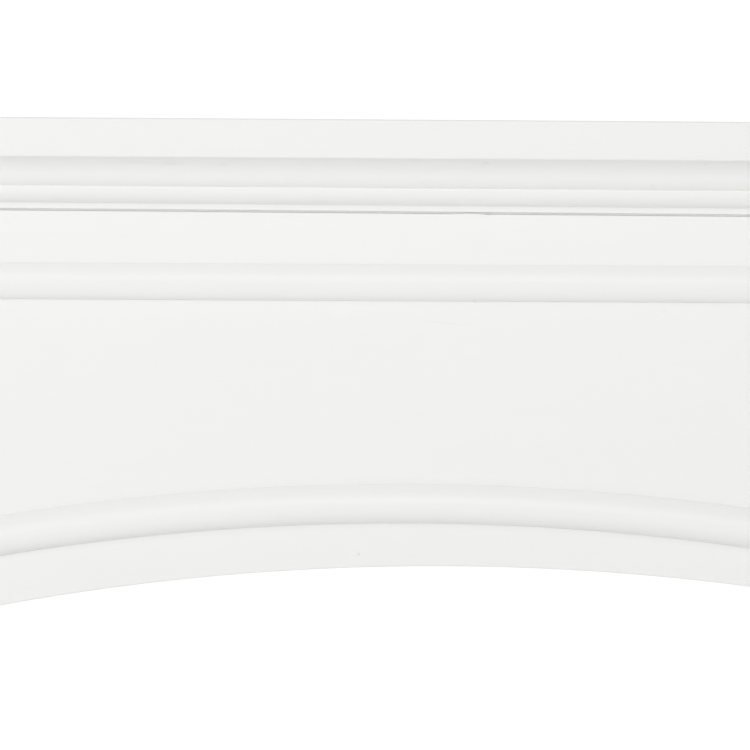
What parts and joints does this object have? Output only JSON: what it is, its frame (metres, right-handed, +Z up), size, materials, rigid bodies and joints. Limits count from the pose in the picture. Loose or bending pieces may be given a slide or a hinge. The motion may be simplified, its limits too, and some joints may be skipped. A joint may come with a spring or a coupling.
{
  "type": "fireplace mantelpiece",
  "caption": "Free-standing white painted wood mantelpiece with a moulded shelf, arched header, rounded beads, box legs and plinths.",
  "frame": {"origin": "on the floor at the middle of the shelf's width and depth", "axes": "+X to the right along the shelf, +Y towards the wall, +Z up; the front faces -Y"},
  "size_m": [1.2058, 0.173, 1.04],
  "materials": {
    "board_paint": "satin white paint on flat boards",
    "moulding_paint": "satin white paint on run mouldings"
  },
  "bodies": {
    "root": {"shelf_board": "board_paint", "header_board": "board_paint", "leg_front_left": "board_paint", "leg_front_right": "board_paint", "leg_side_left": "board_paint", "leg_side_right": "board_paint", "leg_return_left": "board_paint", "leg_return_right": "board_paint", "plinth_front_left": "board_paint", "plinth_front_right": "board_paint", "plinth_side_left": "board_paint", "plinth_side_right": "board_paint", "cornice_front": "moulding_paint", "cornice_left": "moulding_paint", "cornice_right": "moulding_paint", "frieze_bead_front": "moulding_paint", "frieze_bead_left": "moulding_paint", "frieze_bead_right": "moulding_paint", "arch_bead": "moulding_paint", "jamb_bead_left": "moulding_paint", "jamb_bead_right": "moulding_paint"}
  },
  "joints": []
}
